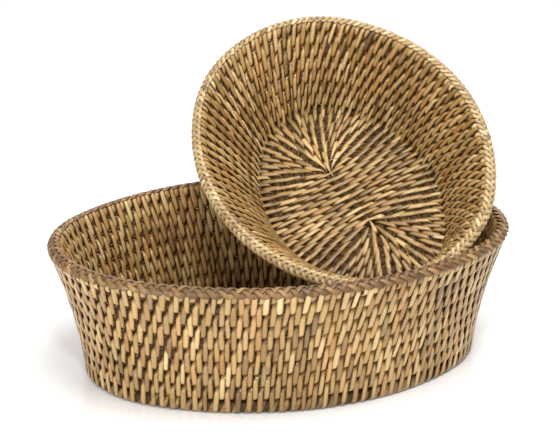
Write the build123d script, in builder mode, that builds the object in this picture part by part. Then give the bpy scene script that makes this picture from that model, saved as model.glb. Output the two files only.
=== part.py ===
from build123d import *
import os
from dataclasses import dataclass
from math import asin, atan, atan2, cos, degrees, hypot, radians, sin, tan

# A pair of oval coiled-cane baskets, the small one lying tilted inside the large one.
# Each basket is a stack of bent cane rods, laced together with thin peel strips and
# finished with a braid over its top rod. Millimetres, +Z up, X along the large basket,
# origin at the middle of the large basket's foot, on the surface that it stands on.

# The large basket
LARGE_LENGTH = 300.0        # over the rim
LARGE_WIDTH = 224.6         # over the rim
LARGE_HEIGHT = 88.5
LARGE_FOOT_INSET = 21.0     # rim's outer edge to the foot's outer edge, seen from above
LARGE_WALL_COURSES = 9      # steps from the foot rod up to the rim rod
LARGE_BASE_TURNS = 9        # rods round the heart, inside the foot rod

# The small basket
SMALL_LENGTH = 232.0
SMALL_WIDTH = 184.6
SMALL_HEIGHT = 69.0
SMALL_FOOT_INSET = 29.0
SMALL_WALL_COURSES = 7
SMALL_BASE_TURNS = 6

# How the small basket lies: turned about its own axis, tipped, and swung round to face
# the front left of the large one, with the middle of its mouth at this place
SMALL_SPIN = -138.7
SMALL_TILT = 38.4
SMALL_HEADING = -120.0
SMALL_MOUTH = (47.6, 21.5, 133.0)

# Cane and lacing, the same for both baskets
ROD_RADIUS = 3.5            # core cane that the coils are bent from
STRIP = 0.9                 # thickness of the peel strips
AIR = 0.05                  # daylight between a rod and the lacing over it
BRAID = 1.35                # thickness of the braid over the rim rod
BRAID_SKIRT = 20.0          # degrees that the braid reaches below the rim rod's middle
SKIRT_GAP = 0.25            # lacing stops this far below the braid
FLARE_RADIUS = 300.0        # side view: the walls curve outwards as they rise

WALL_HALF = ROD_RADIUS + STRIP              # middle of a wall to its face
RIM_HALF = ROD_RADIUS + BRAID + AIR         # middle of the rim rod to the rim's face
LACE_NEAR = ROD_RADIUS + AIR                # the lacing lies between these two
LACE_FAR = WALL_HALF                        # distances from the rods' middles

# How far an end arc's centre lies from the middle of an oval, over the difference
# between its half length and half width: 1 gives a slot, more gives a rounder oval
ROUNDNESS = 1.572
ROUNDING_PACE = 1.5         # the base's turns stay slot-shaped longer the higher this is


@dataclass
class Basket:
    """Driving sizes of one basket and the plane that its foot stands in."""

    name: str
    length: float
    width: float
    height: float
    foot_inset: float
    wall_courses: int
    base_turns: int
    seat: Plane

    @property
    def slot(self):
        """Half length less half width, the same for every oval of the basket."""
        return (self.length - self.width) / 2

    @property
    def foot_rod(self):
        """Section middle of the rod at the foot, as (half length, height)."""
        return self.length / 2 - self.foot_inset - WALL_HALF, WALL_HALF

    @property
    def rim_rod(self):
        """Section middle of the rod inside the rim."""
        return self.length / 2 - RIM_HALF, self.height - RIM_HALF

    @property
    def leans(self):
        """Lean of the wall from upright at the foot rod and at the rim rod, degrees."""
        run = self.rim_rod[0] - self.foot_rod[0]
        rise = self.rim_rod[1] - self.foot_rod[1]
        half_turn = degrees(asin(hypot(run, rise) / 2 / FLARE_RADIUS))
        mean = degrees(atan2(run, rise))
        return mean - half_turn, mean + half_turn

    @property
    def flare_centre(self):
        """Centre of the wall's side-view arc, outside the basket."""
        lean = radians(self.leans[0])
        return (
            self.foot_rod[0] + FLARE_RADIUS * cos(lean),
            self.foot_rod[1] - FLARE_RADIUS * sin(lean),
        )

    def rod_middle(self, course):
        """Section middle of wall rod number course, 0 at the foot."""
        low, high = self.leans
        lean = radians(low + (high - low) * course / self.wall_courses)
        centre = self.flare_centre
        return centre[0] - FLARE_RADIUS * cos(lean), centre[1] + FLARE_RADIUS * sin(lean)


def draw_oval(half_length, slot, centre):
    """Four tangent arcs, starting at the end of the length. centre is an end arc's centre."""
    pinch = 1 - slot / centre
    spread = 90 - 2 * degrees(atan(pinch))
    end_radius = half_length - centre
    side_centre = centre * tan(radians(spread))
    side_radius = end_radius + centre / cos(radians(spread))
    CenterArc((centre, 0), end_radius, 0, spread)
    CenterArc((0, -side_centre), side_radius, spread, 180 - 2 * spread)
    CenterArc((-centre, 0), end_radius, 180 - spread, 2 * spread)
    CenterArc((0, side_centre), side_radius, 180 + spread, 180 - 2 * spread)
    CenterArc((centre, 0), end_radius, 360 - spread, spread)


def finish(piece, basket, name):
    """Move a piece, made upright, to its basket's seat, then label and write it."""
    full_name = f"{basket.name}_{name}"
    piece.part.locate(basket.seat.location)
    piece.part.label = full_name
    export_step(piece.part, f"parts/{full_name}.step")


def make_rod(basket, name, half_length, height, centre):
    """One turn of core cane, a round rod bent round an oval."""
    with BuildPart() as rod:
        with BuildLine(Plane.XY.offset(height)) as path:
            draw_oval(half_length, basket.slot, centre)
        with BuildSketch(Plane.XZ):
            with Locations((half_length, height)):
                Circle(ROD_RADIUS)
        sweep(path=path.wires()[0])
    finish(rod, basket, name)


def make_heart(basket):
    """The short straight rod in the middle of the base that the turns start from."""
    with BuildPart(Plane.XY.offset(WALL_HALF)) as heart:
        Cylinder(ROD_RADIUS, 2 * basket.slot, rotation=(0, 90, 0))
        with Locations((-basket.slot, 0), (basket.slot, 0)):
            Sphere(ROD_RADIUS)
    finish(heart, basket, "base_heart")


def make_base_rods(basket):
    """Turns of the flat base, slot-shaped by the heart and rounder towards the foot rod."""
    edge = basket.foot_rod[0]
    pitch = (edge - basket.slot) / (basket.base_turns + 1)
    for turn in range(1, basket.base_turns + 1):
        growth = (turn / (basket.base_turns + 1)) ** ROUNDING_PACE
        centre = basket.slot * (1 + (ROUNDNESS - 1) * growth)
        half_length = basket.slot + pitch * turn
        make_rod(basket, f"base_rod_{turn:02d}", half_length, WALL_HALF, centre)


def make_wall_rods(basket):
    """The foot rod, the wall's turns above it and the rim rod, one to a course."""
    centre = basket.slot * ROUNDNESS
    for course in range(basket.wall_courses):
        half_length, height = basket.rod_middle(course)
        name = "foot_rod" if course == 0 else f"wall_rod_{course:02d}"
        make_rod(basket, name, half_length, height, centre)
    make_rod(basket, "rim_rod", *basket.rim_rod, centre)


def skirt_lean(basket):
    """Lean of the wall where its lacing stops, just under the rim braid."""
    reach = RIM_HALF * sin(radians(BRAID_SKIRT)) + SKIRT_GAP
    return basket.leans[1] - degrees(reach / FLARE_RADIUS)


def make_outside_lacing(basket):
    """Peel strips on the wall's outside and round the foot rod, as one thin skin."""
    low, high = basket.leans[0], skirt_lean(basket)
    with BuildPart() as lacing:
        with BuildLine() as path:
            draw_oval(basket.length / 2, basket.slot, basket.slot * ROUNDNESS)
        with BuildSketch(Plane.XZ):
            with BuildLine():
                arcs = []
                for away in (LACE_NEAR, LACE_FAR):
                    heel = CenterArc(basket.foot_rod, away, -90, 90 - low)
                    face = CenterArc(
                        basket.flare_centre, FLARE_RADIUS - away, 180 - low, low - high
                    )
                    arcs.append((heel, face))
                Line(arcs[0][0] @ 0, arcs[1][0] @ 0)
                Line(arcs[0][1] @ 1, arcs[1][1] @ 1)
            make_face()
        sweep(path=path.wires()[0])
    finish(lacing, basket, "wall_lacing_outside")


def make_inside_lacing(basket):
    """Peel strips on the wall's inside, from the top of the base to the rim braid."""
    centre = basket.flare_centre
    floor_top = 2 * WALL_HALF + AIR
    high = skirt_lean(basket)
    with BuildPart() as lacing:
        with BuildLine() as path:
            draw_oval(basket.length / 2, basket.slot, basket.slot * ROUNDNESS)
        with BuildSketch(Plane.XZ):
            with BuildLine():
                arcs = []
                for away in (LACE_NEAR, LACE_FAR):
                    radius = FLARE_RADIUS + away
                    low = degrees(asin((floor_top - centre[1]) / radius))
                    arcs.append(CenterArc(centre, radius, 180 - low, low - high))
                Line(arcs[0] @ 0, arcs[1] @ 0)
                Line(arcs[0] @ 1, arcs[1] @ 1)
            make_face()
        sweep(path=path.wires()[0])
    finish(lacing, basket, "wall_lacing_inside")


def make_base_lacing(basket, name, half_length, height):
    """Peel strips over or under the base turns, as one thin flat plate."""
    with BuildPart() as plate:
        with BuildSketch(Plane.XY.offset(height)):
            with BuildLine():
                draw_oval(half_length, basket.slot, basket.slot * ROUNDNESS)
            make_face()
        extrude(amount=STRIP - AIR)
    finish(plate, basket, name)


def make_rim_braid(basket):
    """The braid that wraps the rim rod from the outside, over the top, to the inside."""
    start = -basket.leans[1] - BRAID_SKIRT
    wrap = 180 + 2 * BRAID_SKIRT
    with BuildPart() as braid:
        with BuildLine() as path:
            draw_oval(basket.length / 2, basket.slot, basket.slot * ROUNDNESS)
        with BuildSketch(Plane.XZ):
            with BuildLine():
                inner = CenterArc(basket.rim_rod, LACE_NEAR, start, wrap)
                outer = CenterArc(basket.rim_rod, RIM_HALF, start, wrap)
                Line(inner @ 0, outer @ 0)
                Line(inner @ 1, outer @ 1)
            make_face()
        sweep(path=path.wires()[0])
    finish(braid, basket, "rim_braid")


def make_basket(basket):
    """Every piece of one basket."""
    make_heart(basket)
    make_base_rods(basket)
    make_wall_rods(basket)
    make_outside_lacing(basket)
    make_inside_lacing(basket)
    foot = basket.foot_rod[0]
    make_base_lacing(basket, "base_lacing_under", foot - AIR, 0)
    make_base_lacing(basket, "base_lacing_top", foot - LACE_NEAR + STRIP, 2 * WALL_HALF - STRIP + AIR)
    make_rim_braid(basket)


small_turn = Rot(Z=SMALL_HEADING) * Rot(Y=SMALL_TILT) * Rot(Z=SMALL_SPIN)
small_seat = Plane(Pos(*SMALL_MOUTH) * small_turn * Pos(Z=-SMALL_HEIGHT))

large = Basket(
    name="large",
    length=LARGE_LENGTH,
    width=LARGE_WIDTH,
    height=LARGE_HEIGHT,
    foot_inset=LARGE_FOOT_INSET,
    wall_courses=LARGE_WALL_COURSES,
    base_turns=LARGE_BASE_TURNS,
    seat=Plane.XY,
)
small = Basket(
    name="small",
    length=SMALL_LENGTH,
    width=SMALL_WIDTH,
    height=SMALL_HEIGHT,
    foot_inset=SMALL_FOOT_INSET,
    wall_courses=SMALL_WALL_COURSES,
    base_turns=SMALL_BASE_TURNS,
    seat=small_seat,
)

os.makedirs("parts", exist_ok=True)
for basket in (large, small):
    make_basket(basket)
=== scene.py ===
import math
from dataclasses import dataclass

import bpy
import numpy as np
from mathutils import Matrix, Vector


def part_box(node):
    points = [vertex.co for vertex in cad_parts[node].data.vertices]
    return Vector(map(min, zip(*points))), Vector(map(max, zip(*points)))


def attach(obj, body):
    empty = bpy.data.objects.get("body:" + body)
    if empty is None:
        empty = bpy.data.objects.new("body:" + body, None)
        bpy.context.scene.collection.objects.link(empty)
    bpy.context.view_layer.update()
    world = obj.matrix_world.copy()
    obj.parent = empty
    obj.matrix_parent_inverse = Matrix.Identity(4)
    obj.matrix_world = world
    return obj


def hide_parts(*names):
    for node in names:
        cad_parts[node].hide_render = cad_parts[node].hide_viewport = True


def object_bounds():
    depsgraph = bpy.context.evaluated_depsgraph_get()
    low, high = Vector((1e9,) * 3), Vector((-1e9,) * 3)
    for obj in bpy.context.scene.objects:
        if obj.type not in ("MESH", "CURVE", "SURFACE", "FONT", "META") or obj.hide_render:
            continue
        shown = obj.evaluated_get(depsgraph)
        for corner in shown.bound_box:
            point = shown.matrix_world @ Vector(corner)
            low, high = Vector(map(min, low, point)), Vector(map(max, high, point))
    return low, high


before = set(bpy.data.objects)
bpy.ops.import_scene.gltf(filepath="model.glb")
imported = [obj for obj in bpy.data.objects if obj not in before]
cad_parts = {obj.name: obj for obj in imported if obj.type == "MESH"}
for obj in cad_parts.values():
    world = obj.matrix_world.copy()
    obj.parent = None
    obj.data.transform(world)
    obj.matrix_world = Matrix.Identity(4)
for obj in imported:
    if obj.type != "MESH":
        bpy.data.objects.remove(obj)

CAD_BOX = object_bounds()
MM = 0.001
BODIES = {"large": "large_basket", "small": "small_basket"}
UPWARD = np.array([0.0, 0.0, 1.0])
ROD_RADIUS = (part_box("large_foot_rod")[1][2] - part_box("large_foot_rod")[0][2]) / 2

# How the ovals are drawn, as in the CAD part
ROUNDNESS = 1.572
ROUNDING_PACE = 1.5
ARC_POINTS = 400             # on each arc, before they are spaced evenly
OVAL_POINTS = 1440
SMOOTHING = 5                # neighbours to each side that smooth a rod's table
CAP_REACH = 0.9              # the heart's end cap starts this far out

# The lacing: one peel strip winds round two neighbouring rods, turn after turn
STRIP = 0.9 * MM             # thickness of a strip
BEND = ROD_RADIUS + STRIP / 2
QUARTER = math.pi / 2 * BEND
OUT_FILL = 1.0               # width of a strip over a rod outside, over half the pitch
IN_FILL = 0.92               # and inside
BASE_FILL = 1.0              # and in the base, where the stitches fan out
OUT_SWELL = 0.06             # how much more of that half pitch between the rods, outside
IN_SWELL = 0.14              # and inside
OUT_NECK = 0.9               # width where it turns in between the rods from the outside
IN_NECK = 0.6                # and from the inside
DEEP_FILL = 2.25             # and where it lies flattened between two rods
LEAST_WIDTH = 0.9 * MM
NECK_THICK = 0.7             # thickness where it turns in, over a strip's
PRESSED = 0.7 * MM           # how far two strips between the same rods press into each other
UNDERSIDE = 0.82             # width of a strip's flat underside, over its own
BASE_LEAN = 0.3              # lean of the stitches in the base, over that in the wall
TURN_IN = 0.2                # share of a quarter bend that leans like the straight run
HAIR = 0.05 * MM
RUN_STEPS = 5                # points on a straight run
BEND_STEPS = 10              # points round a rod

# What follows from how squarely a strip faces out, 0 between two rods and 1 on a face
LOOSE = ((0.25, 0.8), (0, 1))            # share of its own slip, tilt and height
FLATTENED = ((0.25, 0.6), (1, 0))        # share of its width between two rods
SPREAD = ((0.6, 0.95), (0, 1))           # share of its width on a face
CROWN = ((0.25, 0.7), (0.9, 0.5))        # flat top over its width
# Painted shade: how much darker a strip is painted where it turns in between two rods
DIVE_SHADE = ((0.3, 0.97), (0.42, 0))      # how much darker
THICK_AT = (0, 0.5, 0.9)                 # flattened, turning in, and a strip's own thickness
FACING = 0.9                             # above this it runs along the lean

# How far single stitches differ
WIDTH_RANGE = (0.8, 1.1)
SLIP = 0.05                  # along the rods, in pitches
TILT = 0.055
PROUD_RANGE = (-0.04 * MM, 0.34 * MM)
TONE_SPREAD = 0.15
WARMTH_SPREAD = 0.24
PATCHES = 12                 # round a course, each a little lighter or darker
PATCH_TONE = 0.16
WALL_TONE, BASE_TONE = 0.56, 0.42
WALL_WARMTH, BASE_WARMTH = 0.28, 0.16
BROWN_WARMTH = 4             # how much warmer a browner stitch is
FIBRE_JUMP = 37.0            # millimetres of fibres skipped from one stitch to the next

# The plait over the rim rod
PLAIT_STRANDS = 3
PLAIT_STEPS = 18             # points on one wave
PLAIT_CLEAR = 0.45 * MM      # lacing to the plait's middle layer
PLAIT_TOP = 0.5              # flat top of a strand over its width
PLAIT_WOBBLE = 0.05
PLAIT_WIDTH_RANGE = (0.9, 1.08)
PLAIT_TONE, PLAIT_TONE_SPREAD = 0.5, 0.16
PLAIT_WARMTH, PLAIT_WARMTH_SPREAD = 0.35, 0.25
STRAND_JUMP = 51.0


@dataclass
class Weave:
    """How one basket is laced and how its rim is plaited."""

    pitch: float             # from one turn of the strip to the next
    lean: float              # degrees that a stitch leans, anticlockwise going up
    brown: float             # how much darker and redder half way up the wall
    plait_wave: float        # one strand's whole wave
    plait_width: float
    plait_thick: float
    plait_swing: float       # degrees that a strand swings to each side of the top
    plait_lift: float        # rise and fall as it passes over and under
    plait_turn: float        # degrees that the plait's middle sits outwards


WEAVES = {
    "large": Weave(
        pitch=7.06 * MM, lean=4.0, brown=0.03, plait_wave=21 * MM, plait_width=3.3 * MM,
        plait_thick=0.8 * MM, plait_swing=42.0, plait_lift=0.55 * MM, plait_turn=8.0,
    ),
    "small": Weave(
        pitch=6.1 * MM, lean=-14.5, brown=0.06, plait_wave=13 * MM, plait_width=2.9 * MM,
        plait_thick=0.75 * MM, plait_swing=40.0, plait_lift=0.38 * MM, plait_turn=4.0,
    ),
}


@dataclass
class Finish:
    """Colours of split cane from dark to light, its warm tint and its varnish."""

    tones: list
    warm: tuple
    coat: float


SPLIT_CANE = Finish(
    [(0.0, (0.115, 0.060, 0.017)), (0.35, (0.285, 0.172, 0.056)),
     (0.62, (0.47, 0.31, 0.12)), (1.0, (0.74, 0.56, 0.28))],
    (0.50, 0.225, 0.055), 0.5,
)
PLAITED_TAN = Finish(
    [(0.0, (0.036, 0.016, 0.005)), (0.5, (0.175, 0.092, 0.028)), (1.0, (0.44, 0.275, 0.104))],
    (0.22, 0.088, 0.022), 0.25,
)
PLAITED_STRAW = Finish(
    [(0.0, (0.17, 0.10, 0.036)), (0.5, (0.46, 0.325, 0.15)), (1.0, (0.76, 0.61, 0.35))],
    (0.42, 0.24, 0.09), 0.3,
)
# Core cane's own brown, painted darker still as painted shade in the gaps between the stitches
CORE_AND_SHADE_TONES = [(0.3, (0.024, 0.012, 0.004)), (0.5, (0.068, 0.036, 0.012)),
              (0.75, (0.14, 0.082, 0.030))]
FLOOR_TONES = [(0.0, (0.90, 0.90, 0.895)), (1.0, (0.93, 0.93, 0.925))]
# Painted shade where a strip's edges meet its neighbours
EDGE_SHADE_COLOUR = (0.085, 0.045, 0.014)
SPOT_COLOUR = (0.07, 0.04, 0.02)


def unit(vector):
    return vector / np.linalg.norm(vector, axis=-1, keepdims=True)


def node_points(node):
    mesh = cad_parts[node].data
    points = np.empty(len(mesh.vertices) * 3)
    mesh.vertices.foreach_get("co", points)
    return points.reshape(-1, 3)


def box_middle(node):
    low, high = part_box(node)
    return (np.array(low) + np.array(high)) / 2


class Basket:
    """A basket's own axes and the rods of its coil, read from the CAD nodes."""

    def __init__(self, name):
        self.name = name
        self.body = BODIES[name]
        self.weave = WEAVES[name]
        self.find_axes()
        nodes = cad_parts
        base = sorted(n for n in nodes if n.startswith(f"{name}_base_rod_"))
        wall = sorted(n for n in nodes if n.startswith(f"{name}_wall_rod_"))
        self.coil = [f"{name}_base_heart", *base, f"{name}_foot_rod", *wall, f"{name}_rim_rod"]
        self.foot_index = len(base) + 1
        self.rim_index = len(self.coil) - 1
        size = self.local(node_points(f"{name}_foot_rod")).max(axis=0)
        self.slot = size[0] - size[1]
        self.rings = [self.ring(index) for index in range(len(self.coil))]
        half_way = self.rings[(self.foot_index + len(self.rings)) // 2]
        self.wall_length = oval_points(half_way[0], self.slot, half_way[2])[1]
        below, rim = self.rings[-2:]
        self.rim_lean = math.atan2(rim[0] - below[0], rim[1] - below[1])
        self.wall_gap = math.hypot(rim[0] - below[0], rim[1] - below[1])

    def find_axes(self):
        """Along the heart, across it and up, from the middle of the foot's plane."""
        plate = f"{self.name}_base_lacing_under"
        foot = box_middle(plate)
        up = unit(box_middle(f"{self.name}_rim_rod") - foot)
        heart = node_points(f"{self.name}_base_heart") - box_middle(f"{self.name}_base_heart")
        reach = np.linalg.norm(heart, axis=1)
        tip = heart[reach.argmax()]
        cap = heart[heart @ unit(tip) > CAP_REACH * reach.max()].mean(axis=0)
        along = unit(cap - (cap @ up) * up)
        if along[0] < 0:
            along = -along
        self.axes = np.array([along, np.cross(up, along), up])
        self.origin = foot + up * ((node_points(plate) - foot) @ up).min()

    def local(self, points):
        return (points - self.origin) @ self.axes.T

    def world(self, points):
        return points @ self.axes + self.origin

    def ring(self, index):
        """Half length, height and end-arc centre of one turn of the coil."""
        points = self.local(node_points(self.coil[index]))
        half_length = points[:, 0].max() - ROD_RADIUS
        height = (points[:, 2].max() + points[:, 2].min()) / 2
        growth = min(index / self.foot_index, 1.0) ** ROUNDING_PACE
        centre = self.slot * (1 + (ROUNDNESS - 1) * growth)
        return half_length, height, centre

    def rim_up(self, ahead):
        """Up the wall at the rim, for each direction along it."""
        outward = np.cross(ahead, UPWARD)
        return math.cos(self.rim_lean) * UPWARD + math.sin(self.rim_lean) * outward


def oval_points(half_length, slot, centre):
    """Even points along a four-arc oval, anticlockwise from the middle of its far side."""
    pinch = max(1 - slot / centre, 1e-3)             # the heart is an oval of no width,
    spread = math.pi / 2 - 2 * math.atan(pinch)
    end_radius = max(half_length - centre, 1e-6)     # so both are kept above nought
    side_radius = end_radius + centre / math.cos(spread)
    side_centre = centre * math.tan(spread)
    arcs = [
        ((0, -side_centre), side_radius, math.pi / 2, math.pi - spread),
        ((-centre, 0), end_radius, math.pi - spread, math.pi + spread),
        ((0, side_centre), side_radius, math.pi + spread, 2 * math.pi - spread),
        ((centre, 0), end_radius, -spread, spread),
        ((0, -side_centre), side_radius, spread, math.pi / 2),
    ]
    pieces = []
    for (x, y), radius, start, stop in arcs:
        angle = np.linspace(start, stop, ARC_POINTS, endpoint=False)
        pieces.append(np.c_[x + radius * np.cos(angle), y + radius * np.sin(angle)])
    path = np.vstack([*pieces, pieces[0][:1]])
    run = np.r_[0, np.cumsum(np.linalg.norm(np.diff(path, axis=0), axis=1))]
    even = np.linspace(0, run[-1], OVAL_POINTS, endpoint=False)
    points = np.c_[np.interp(even, run, path[:, 0]), np.interp(even, run, path[:, 1])]
    return points, run[-1]


def directions(points):
    """Direction along a closed row of points at each of them."""
    return unit(np.roll(points, -1, axis=0) - np.roll(points, 1, axis=0))


def nearest(points, ring):
    """For each point the nearest one on a ring."""
    gaps = points[:, None, :] - ring[None, :, :]
    return ring[(gaps ** 2).sum(axis=2).argmin(axis=1)]


def around(table, turn):
    """Read a closed table at positions given in whole turns."""
    place = np.mod(turn, 1.0) * len(table)
    low = np.floor(place).astype(int) % len(table)
    part = (place - np.floor(place))[:, None]
    return table[low] * (1 - part) + table[(low + 1) % len(table)] * part


def smooth(table, width):
    """A closed table averaged over a few neighbours."""
    total = np.zeros_like(table)
    for step in range(-width, width + 1):
        total += np.roll(table, step, axis=0)
    return total / (2 * width + 1)


# ---------------------------------------------------------------- meshes

@dataclass
class Band:
    """A strip's course, point by point, in its basket's own axes."""

    points: np.ndarray
    normals: np.ndarray      # towards its domed side
    widths: np.ndarray
    thicks: np.ndarray
    crowns: np.ndarray       # flat top over the width
    tone: np.ndarray
    warmth: np.ndarray
    along: np.ndarray        # millimetres along its fibres


def band_corners(band):
    """Each section's six corners, none below the foot, and their places across it."""
    ahead = directions(band.points)
    side = unit(np.cross(ahead, band.normals))
    lift = unit(np.cross(side, ahead))
    edge = np.ones(len(band.points))
    across = np.stack(
        [-edge, -UNDERSIDE * edge, UNDERSIDE * edge, edge, band.crowns, -band.crowns], axis=1
    )
    height = np.array([0.0, -0.5, -0.5, 0.0, 0.5, 0.5])
    corners = (
        band.points[:, None, :]
        + side[:, None, :] * (across * band.widths[:, None] / 2)[:, :, None]
        + lift[:, None, :] * (height[None, :] * band.thicks[:, None])[:, :, None]
    )
    corners[:, :, 2] = np.maximum(corners[:, :, 2], 0)
    return corners, across


def closed_mesh(name, corners):
    """A ring-shaped mesh through closed sections, and its faces."""
    count, sides, _ = corners.shape
    first = np.arange(count)[:, None] * sides
    second = (np.arange(count)[:, None] + 1) % count * sides
    here = np.arange(sides)[None, :]
    there = (here + 1) % sides
    faces = np.stack([first + here, first + there, second + there, second + here], axis=2)
    faces = faces.reshape(-1, 4)
    mesh = bpy.data.meshes.new(name)
    mesh.vertices.add(count * sides)
    mesh.vertices.foreach_set("co", corners.reshape(-1))
    mesh.loops.add(len(faces) * 4)
    mesh.loops.foreach_set("vertex_index", faces.reshape(-1))
    mesh.polygons.add(len(faces))
    mesh.polygons.foreach_set("loop_start", np.arange(len(faces)) * 4)
    mesh.polygons.foreach_set("loop_total", np.full(len(faces), 4))
    mesh.update(calc_edges=True)
    mesh.polygons.foreach_set("use_smooth", np.ones(len(faces), dtype=bool))
    return mesh, faces


def make_band(basket, name, band, material):
    """A closed band of cane as a piece that rides with its basket."""
    corners, across = band_corners(band)
    mesh, faces = closed_mesh(name, basket.world(corners))
    sides = corners.shape[1]
    for label, values in (("tone", band.tone), ("warmth", band.warmth)):
        layer = mesh.attributes.new(label, "FLOAT", "POINT")
        layer.data.foreach_set("value", np.repeat(values, sides))
    over = (across.reshape(-1) + 1) / 2
    along = np.repeat(band.along, sides)
    uv = mesh.uv_layers.new(name="strip")
    flat = faces.reshape(-1)
    uv.data.foreach_set("uv", np.c_[along[flat], over[flat]].reshape(-1))
    mesh.materials.append(material)
    piece = bpy.data.objects.new(name, mesh)
    bpy.context.collection.objects.link(piece)
    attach(piece, basket.body)
    return piece


@dataclass
class Turn:
    """One turn of a strip round two rods, in its own plane, point by point."""

    travel: np.ndarray       # how far along the strip
    level: np.ndarray        # 0 at the lower rod and 1 at the upper one
    towards: np.ndarray      # from the lower rod's middle towards the upper rod
    outwards: np.ndarray     # and out of the wall
    facing_up: np.ndarray    # the surface's normal, the same two ways
    facing_out: np.ndarray


def strip_turn(gap):
    """A strip's turn round two rods whose middles are a gap apart."""
    runs = RUN_STEPS if gap > STRIP else 0
    up = np.linspace(0, 1, runs, endpoint=False)
    half = np.linspace(0, 1, BEND_STEPS, endpoint=False)
    late, early = half[half >= 0.5], half[half < 0.5]
    angle = math.pi * np.concatenate(
        [late - 0.5, np.full(runs, 0.5), 0.5 + half, np.full(runs, 1.5), 1.5 + early]
    )
    level = np.concatenate([0 * late, up, 0 * half + 1, 1 - up, 0 * early])
    travel = np.concatenate([
        (late - 0.5) * 2 * QUARTER,
        QUARTER + up * gap,
        QUARTER + gap + half * 2 * QUARTER,
        3 * QUARTER + gap + up * gap,
        3 * QUARTER + 2 * gap + early * 2 * QUARTER,
    ])
    facing_up, facing_out = -np.cos(angle), np.sin(angle)
    return Turn(travel, level, level * gap + BEND * facing_up, BEND * facing_out,
                facing_up, facing_out)


def rod_tables(basket, index):
    """The two rods that course number index goes round, as closed tables of points.

    The last course goes round the rim rod alone: its upper rod is the same one again, a
    hair's breadth higher. Gives both tables, the direction along them and their length.
    """
    low = basket.rings[index]
    high = low if index == basket.rim_index else basket.rings[index + 1]
    middle, length = oval_points((low[0] + high[0]) / 2, basket.slot, (low[2] + high[2]) / 2)
    ahead = directions(middle)
    ahead = np.c_[ahead, np.zeros(len(ahead))]
    tables = []
    for half_length, height, centre in (low, high):
        oval = oval_points(half_length, basket.slot, centre)[0]
        flat = smooth(nearest(middle, oval), SMOOTHING)
        tables.append(np.c_[flat, np.full(len(flat), height)])
    if high is low:
        tables[1] = tables[0] + HAIR * basket.rim_up(ahead)
    return tables, ahead, length


def slant(turn, gap, lean, pitch):
    """How far along the rods one turn of the strip gets, in pitches.

    It leans on each face and makes up the rest where it goes through. Gives that for
    every point, and how far the lean carries it from one rod to the other.
    """
    past = TURN_IN * QUARTER
    slope = (gap + 2 * past) * math.tan(lean) / pitch
    knots = [0, QUARTER - past, QUARTER + gap + past, 3 * QUARTER + gap - past,
             3 * QUARTER + 2 * gap + past, 4 * QUARTER + 2 * gap]
    shift = np.interp(turn.travel, knots, [0, 0.25, 0.25 + slope, 0.75 + slope, 0.75, 1])
    return shift, gap * math.tan(lean) / pitch


def pressing(basket, index, turn, gap):
    """How squarely a strip faces out, and 1 where no second rod presses it flat.

    That is where a course passes under the foot, beside it, or over the rim.
    """
    if index == basket.foot_index:
        free = turn.towards < 0
    elif index == basket.foot_index - 1 or index >= basket.rim_index - 1:
        free = turn.towards > gap
    else:
        free = np.zeros(len(turn.towards), dtype=bool)
    return np.where(free, 1.0, np.abs(turn.facing_out))


def strip_section(basket, index, turn, gap):
    """Share of the half pitch, thickness and flat top's share, for one turn's points."""
    in_wall = index >= basket.foot_index
    outside = turn.facing_out > 0
    press = pressing(basket, index, turn, gap)
    fills = (OUT_FILL, IN_FILL) if in_wall else (BASE_FILL, BASE_FILL)
    swell = np.where(outside, OUT_SWELL, IN_SWELL) * np.sin(math.pi * turn.level)
    face_fill = np.where(outside, *fills) + swell
    neck = np.where(outside, OUT_NECK, IN_NECK)
    fill = neck + (DEEP_FILL - neck) * np.interp(press, *FLATTENED)
    fill = fill + (face_fill - neck) * np.interp(press, *SPREAD)
    between = max(basket.wall_gap if in_wall else gap, 2 * BEND + STRIP / 2) - 2 * BEND
    thick = np.interp(press, THICK_AT, [between + PRESSED, NECK_THICK * STRIP, STRIP])
    return fill, thick, np.interp(press, *CROWN)


@dataclass
class Stitches:
    """What sets each stitch of a course apart. Pairs are for the outside and the inside."""

    width: np.ndarray
    slip: np.ndarray
    tilt: np.ndarray
    proud: np.ndarray
    tone: np.ndarray
    warmth: np.ndarray
    patch: np.ndarray


def draw_stitches(basket, index, count, rng):
    """Differences in width, place, tension, tone and colour, at random."""
    in_wall = index >= basket.foot_index
    width = rng.uniform(*WIDTH_RANGE, (count, 2))
    slip = rng.normal(0, SLIP, count)
    tilt = rng.normal(0, TILT, count)
    proud = rng.uniform(*PROUD_RANGE, (count, 2))
    if not in_wall:
        proud[:, 0] = np.minimum(proud[:, 0], 0)     # the underside stands on the floor
    climb = (index - basket.foot_index + 0.5) / (len(basket.rings) - basket.foot_index)
    brown = basket.weave.brown * math.sin(math.pi * climb) if in_wall else 0
    tone = rng.normal((WALL_TONE if in_wall else BASE_TONE) - brown, TONE_SPREAD, (count, 2))
    warmth = (WALL_WARMTH if in_wall else BASE_WARMTH) + BROWN_WARMTH * brown
    warmth = np.clip(rng.normal(warmth, WARMTH_SPREAD, (count, 2)), 0, 1)
    patches = rng.uniform(-PATCH_TONE, PATCH_TONE, PATCHES)
    patches[-1] = patches[0]
    patch = np.interp(np.arange(count), np.linspace(0, count, PATCHES), patches)
    return Stitches(width, slip, tilt, proud, tone, warmth, patch)


def course_name(basket, index):
    """Courses are counted from the heart outwards and from the foot up."""
    if index == basket.rim_index:
        return f"{basket.name}_rim_wrapping"
    if index >= basket.foot_index:
        return f"{basket.name}_wall_course_{index - basket.foot_index + 1:02d}"
    return f"{basket.name}_base_course_{index + 1:02d}"


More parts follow.
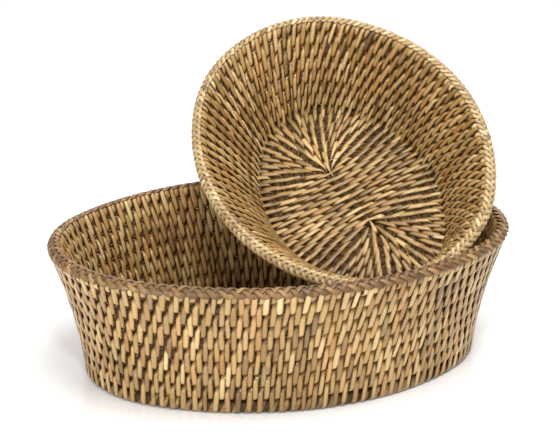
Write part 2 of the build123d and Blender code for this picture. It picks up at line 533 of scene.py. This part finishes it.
def lace_course(basket, index, start, material, rng):
    """The strip that laces turn index of the coil to the next one.

    start is where its first stitch begins, in pitches. Gives the same for the next course.
    """
    in_wall = index >= basket.foot_index
    rings, tangent, length = rod_tables(basket, index)
    gap = np.linalg.norm(rings[1] - rings[0], axis=1).mean()
    count = 2 * round((basket.wall_length if in_wall else length) / basket.weave.pitch / 2)
    lean = math.radians(basket.weave.lean) * (1 if in_wall else BASE_LEAN)
    turn = strip_turn(gap)
    steps = len(turn.travel)
    shift, rise = slant(turn, gap, lean, length / count)
    fill, thick, crown = strip_section(basket, index, turn, gap)
    each = draw_stitches(basket, index, count, rng)

    # One row per point from here on: the same turn over and over, each stitch its own way
    depth = np.abs(turn.facing_out)
    stitch = np.repeat(np.arange(count), steps)
    pick = (stitch, np.tile(np.where(turn.facing_out > 0, 0, 1), count))
    loose = np.tile(np.interp(depth, *LOOSE), count)
    stray = each.slip[stitch] + each.tilt[stitch] * (np.tile(turn.level, count) - 0.5)
    place = (stitch + start + np.tile(shift, count) + stray * loose) / count
    base = around(rings[0], place)
    step = around(rings[1], place) - base
    reach = np.linalg.norm(step, axis=1)
    step = step / reach[:, None]
    out = unit(np.cross(unit(around(tangent, place)), step))
    towards = np.tile(turn.towards, count)
    towards = np.where(towards > gap / 2, towards + reach - gap, towards)
    outwards = np.tile(turn.outwards, count)
    outwards = outwards + np.sign(outwards) * each.proud[pick] * loose
    points = base + step * towards[:, None] + out * outwards[:, None]
    normals = (
        step * np.tile(turn.facing_up, count)[:, None]
        + out * np.tile(turn.facing_out, count)[:, None]
    )

    # A strip fills its share of the room between its neighbours
    grid = points.reshape(count, steps, 3)
    room = np.linalg.norm(np.roll(grid, -1, axis=0) - np.roll(grid, 1, axis=0), axis=2) / 4
    straight = np.where(depth > FACING, math.cos(lean), 1)
    widths = np.maximum(room * fill * straight, LEAST_WIDTH).reshape(-1)
    band = Band(
        points=points,
        normals=normals,
        widths=widths * (1 + (each.width[pick] - 1) * loose),
        thicks=np.tile(thick, count),
        crowns=np.tile(crown, count),
        # The tone takes off painted shade where the strip dives in between the rods
        tone=np.clip(
            each.tone[pick] + each.patch[stitch] - np.tile(np.interp(depth, *DIVE_SHADE), count),
            0, 1,
        ),
        warmth=each.warmth[pick],
        along=np.tile(turn.travel, count) / MM + stitch * FIBRE_JUMP,
    )
    piece = make_band(basket, course_name(basket, index), band, material)
    if in_wall:
        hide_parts(f"{basket.name}_wall_lacing_outside",
                    f"{basket.name}_wall_lacing_inside")
    else:
        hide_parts(f"{basket.name}_base_lacing_under",
                    f"{basket.name}_base_lacing_top")
    return start + 0.5 + rise


def plait_rim(basket, material, slot_name, rng):
    """Three flat strands plaited over the rim rod."""
    weave = basket.weave
    half_length, height, centre = basket.rings[-1]
    flat, length = oval_points(half_length, basket.slot, centre)
    path = np.c_[flat, np.full(len(flat), height)]
    ahead = directions(path)
    rise = basket.rim_up(ahead)
    face = np.cross(ahead, rise)
    waves = round(length / weave.plait_wave)
    count = waves * PLAIT_STEPS
    turn = np.arange(count) / count
    up, out = unit(around(rise, turn)), unit(around(face, turn))
    for strand in range(PLAIT_STRANDS):
        beat = turn * waves + strand / PLAIT_STRANDS
        phase = 2 * math.pi * beat
        wave = np.floor(beat + 0.25).astype(int) % waves
        half = (np.cos(phase) > 0).astype(int)
        wobble = 1 + rng.normal(0, PLAIT_WOBBLE, waves)[wave]
        swing = np.radians(weave.plait_turn + weave.plait_swing * wobble * np.sin(phase))
        radius = ROD_RADIUS + STRIP + PLAIT_CLEAR + weave.plait_lift * np.sin(2 * phase)
        normals = up * np.cos(swing)[:, None] + out * np.sin(swing)[:, None]
        tone = np.clip(rng.normal(PLAIT_TONE, PLAIT_TONE_SPREAD, (waves, 2)), 0, 1)
        warmth = np.clip(rng.normal(PLAIT_WARMTH, PLAIT_WARMTH_SPREAD, waves), 0, 1)
        band = Band(
            points=around(path, turn) + normals * radius[:, None],
            normals=normals,
            widths=weave.plait_width * rng.uniform(*PLAIT_WIDTH_RANGE, waves)[wave],
            thicks=np.full(count, weave.plait_thick),
            crowns=np.full(count, PLAIT_TOP),
            tone=tone[wave, half],
            warmth=warmth[wave],
            along=turn * length / MM + strand * STRAND_JUMP,
        )
        piece = make_band(basket, f"{basket.name}_rim_strand_{strand + 1}", band, material)
        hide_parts(f"{basket.name}_rim_braid")


# ---------------------------------------------------------------- materials

class Nodes:
    """Short calls for building a material's node tree."""

    def __init__(self, name):
        self.material = bpy.data.materials.new(name)
        self.material.use_nodes = True
        self.tree = self.material.node_tree
        self.shader = self.tree.nodes["Principled BSDF"]

    def add(self, kind, **values):
        node = self.tree.nodes.new(kind)
        for key, value in values.items():
            setattr(node, key, value)
        return node

    def feed(self, value, socket):
        """Set a socket to a number or a colour, or link it to another node's output."""
        if isinstance(value, (int, float)):
            socket.default_value = value
        elif isinstance(value, tuple):
            socket.default_value = (*value, 1)
        else:
            self.tree.links.new(value, socket)

    def attribute(self, name):
        return self.add("ShaderNodeAttribute", attribute_name=name).outputs["Fac"]

    def noise(self, vector, scale, detail):
        node = self.add("ShaderNodeTexNoise")
        self.feed(scale, node.inputs["Scale"])
        self.feed(detail, node.inputs["Detail"])
        self.feed(vector, node.inputs["Vector"])
        return node.outputs["Fac"]

    def scaled(self, vector, scale):
        node = self.add("ShaderNodeMapping")
        node.inputs["Scale"].default_value = scale
        self.feed(vector, node.inputs["Vector"])
        return node.outputs["Vector"]

    def math(self, operation, a, b=0.0):
        node = self.add("ShaderNodeMath", operation=operation)
        self.feed(a, node.inputs[0])
        self.feed(b, node.inputs[1])
        return node.outputs[0]

    def swing(self, factor, amount):
        """A noise moved to swing evenly about nought, times an amount."""
        return self.math("MULTIPLY", self.math("SUBTRACT", factor, 0.5), amount)

    def ramp(self, factor, stops):
        node = self.add("ShaderNodeValToRGB")
        ramp = node.color_ramp
        while len(ramp.elements) < len(stops):
            ramp.elements.new(0.5)
        for element, (position, colour) in zip(ramp.elements, stops):
            element.position = position
            element.color = (*colour, 1)
        self.feed(factor, node.inputs["Fac"])
        return node.outputs["Color"]

    def mix(self, factor, a, b):
        node = self.add("ShaderNodeMix", data_type="RGBA")
        self.feed(factor, node.inputs[0])
        self.feed(a, node.inputs[6])
        self.feed(b, node.inputs[7])
        return node.outputs[2]

    def bump(self, height, strength, distance):
        node = self.add("ShaderNodeBump")
        self.feed(strength, node.inputs["Strength"])
        self.feed(distance, node.inputs["Distance"])
        self.feed(height, node.inputs["Height"])
        self.feed(node.outputs["Normal"], self.shader.inputs["Normal"])


def strip_material(name, finish):
    """Split cane: fibres along the strip, painted shade at its edges, stains and a thin
    varnish.
    """
    n = Nodes(name)
    uv = n.add("ShaderNodeUVMap", uv_map="strip").outputs["UV"]
    place = n.add("ShaderNodeTexCoord").outputs["Object"]
    fibre = n.noise(n.scaled(uv, (0.12, 7.0, 1.0)), 1.6, 4.0)
    fine = n.noise(n.scaled(uv, (0.35, 22.0, 1.0)), 1.0, 2.0)
    cloud = n.noise(place, 26.0, 2.0)
    stain = n.noise(place, 95.0, 3.0)
    # On the lacing the tone attribute already carries painted shade where strips dive between
    # the rods
    tone = n.math("ADD", n.attribute("tone"), n.swing(fibre, 0.55))
    tone = n.math("ADD", tone, n.swing(cloud, 0.5))
    colour = n.ramp(tone, finish.tones)
    warmth = n.math("MULTIPLY", n.attribute("warmth"), n.math("ADD", cloud, 0.2))
    colour = n.mix(n.math("MULTIPLY", warmth, 0.75), colour, finish.warm)
    split = n.add("ShaderNodeSeparateXYZ")
    n.feed(uv, split.inputs["Vector"])
    # Painted shade: each strip darkens towards its two edges, where it meets its neighbours
    edge = n.math("ABSOLUTE", n.math("SUBTRACT", split.outputs["Y"], 0.5))
    edge = n.math("POWER", n.math("MULTIPLY", edge, 2.0), 2.5)
    colour = n.mix(n.math("MULTIPLY", edge, 0.55), colour, EDGE_SHADE_COLOUR)
    spots = n.math("GREATER_THAN", stain, 0.69)
    colour = n.mix(n.math("MULTIPLY", spots, 0.35), colour, SPOT_COLOUR)
    rough = n.math("ADD", 0.34, n.math("MULTIPLY", fine, 0.3))
    n.feed(colour, n.shader.inputs["Base Color"])
    n.feed(rough, n.shader.inputs["Roughness"])
    n.feed(finish.coat, n.shader.inputs["Coat Weight"])
    n.feed(0.13, n.shader.inputs["Coat Roughness"])
    n.feed(0.35, n.shader.inputs["Specular IOR Level"])
    n.bump(n.math("ADD", fibre, n.math("MULTIPLY", fine, 0.5)), 0.35, 0.4 * MM)
    return n.material


def core_material():
    """Core cane seen deep between the stitches: dull, brown, with long fibres, painted darker
    than its own tan as painted shade in those gaps.
    """
    n = Nodes("core_cane_fibres")
    place = n.add("ShaderNodeTexCoord").outputs["Object"]
    grain = n.noise(n.scaled(place, (60.0, 60.0, 900.0)), 1.0, 4.0)
    cloud = n.noise(place, 40.0, 2.0)
    tone = n.math("ADD", n.math("MULTIPLY", grain, 0.6), n.math("MULTIPLY", cloud, 0.4))
    n.feed(n.ramp(tone, CORE_AND_SHADE_TONES), n.shader.inputs["Base Color"])
    rough = n.math("ADD", 0.55, n.math("MULTIPLY", grain, 0.3))
    n.feed(rough, n.shader.inputs["Roughness"])
    n.feed(0.15, n.shader.inputs["Specular IOR Level"])
    n.bump(grain, 0.4, 0.4 * MM)
    return n.material


def floor_material():
    """Plain pale floor with a faint satin reflection."""
    n = Nodes("pale_floor")
    place = n.add("ShaderNodeTexCoord").outputs["Object"]
    cloud = n.noise(place, 3.0, 2.0)
    n.feed(n.ramp(cloud, FLOOR_TONES), n.shader.inputs["Base Color"])
    rough = n.math("ADD", 0.10, n.math("MULTIPLY", cloud, 0.05))
    n.feed(rough, n.shader.inputs["Roughness"])
    n.feed(0.55, n.shader.inputs["Specular IOR Level"])
    return n.material


# ---------------------------------------------------------------- the set

def look_at(thing, target):
    """Turn a camera or a light to face a point."""
    direction = np.array(target) - np.array(thing.location)
    flat = math.hypot(direction[0], direction[1])
    thing.rotation_euler = (
        math.atan2(flat, -direction[2]), 0, math.atan2(-direction[0], direction[1])
    )


def add_camera():
    """At the photograph's angle: 18 degrees left of the front, 19 degrees up."""
    target = np.array([-0.7, 0.2, 94.8]) * MM
    turn, climb, distance = math.radians(-18), math.radians(19), 1300 * MM
    camera = bpy.data.cameras.new("camera")
    camera.lens = 130.6
    camera.sensor_width = 36
    thing = bpy.data.objects.new("camera", camera)
    thing.location = target + distance * np.array([
        math.sin(turn) * math.cos(climb), -math.cos(turn) * math.cos(climb), math.sin(climb),
    ])
    look_at(thing, target)
    bpy.context.collection.objects.link(thing)
    bpy.context.scene.camera = thing


def add_area(name, location, size, power):
    """A round soft light that shines at the baskets."""
    light = bpy.data.lights.new(name, "AREA")
    light.shape = "DISK"
    light.size = size
    light.energy = power
    thing = bpy.data.objects.new(name, light)
    thing.location = location
    look_at(thing, (0, 0, 0.06))
    bpy.context.collection.objects.link(thing)


def add_floor(radius=4.0, sides=96):
    height = CAD_BOX[0][2]
    angles = [2 * math.pi * k / sides for k in range(sides)]
    rim = [(radius * math.cos(a), radius * math.sin(a), height) for a in angles]
    mesh = bpy.data.meshes.new("floor")
    mesh.from_pydata(rim, [], [list(range(sides))])
    mesh.materials.append(floor_material())
    floor = bpy.data.objects.new("floor", mesh)
    bpy.context.collection.objects.link(floor)


def add_lights():
    world = bpy.data.worlds.new("studio")
    world.use_nodes = True
    backdrop = world.node_tree.nodes["Background"]
    backdrop.inputs["Color"].default_value = (1, 1, 1, 1)
    backdrop.inputs["Strength"].default_value = 0.75
    bpy.context.scene.world = world
    bpy.context.scene.view_settings.view_transform = "Standard"
    add_area("key_light", (0.22, -0.5, 1.87), 1.3, 29)
    add_area("glint_light", (-0.35, -1.15, 1.35), 0.14, 7)
    add_area("low_light", (-1.2, -1.35, 0.42), 0.8, 15)
    add_area("back_light", (0.3, 1.4, 1.3), 0.8, 5)


def main():
    rng = np.random.default_rng(7)
    add_camera()
    add_floor()
    add_lights()
    lacing = strip_material("split_cane", SPLIT_CANE)
    plaits = {
        "large": (strip_material("plaited_tan", PLAITED_TAN), "rim_braid_tan"),
        "small": (strip_material("plaited_straw", PLAITED_STRAW), "rim_braid_straw"),
    }
    core = core_material()
    for name in BODIES:
        basket = Basket(name)
        for node in basket.coil:
            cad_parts[node].data.materials.clear()
            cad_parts[node].data.materials.append(core)
        start = 0.25
        for index in range(len(basket.rings)):
            start = lace_course(basket, index, start, lacing, rng)
        plait_rim(basket, *plaits[name], rng)


main()
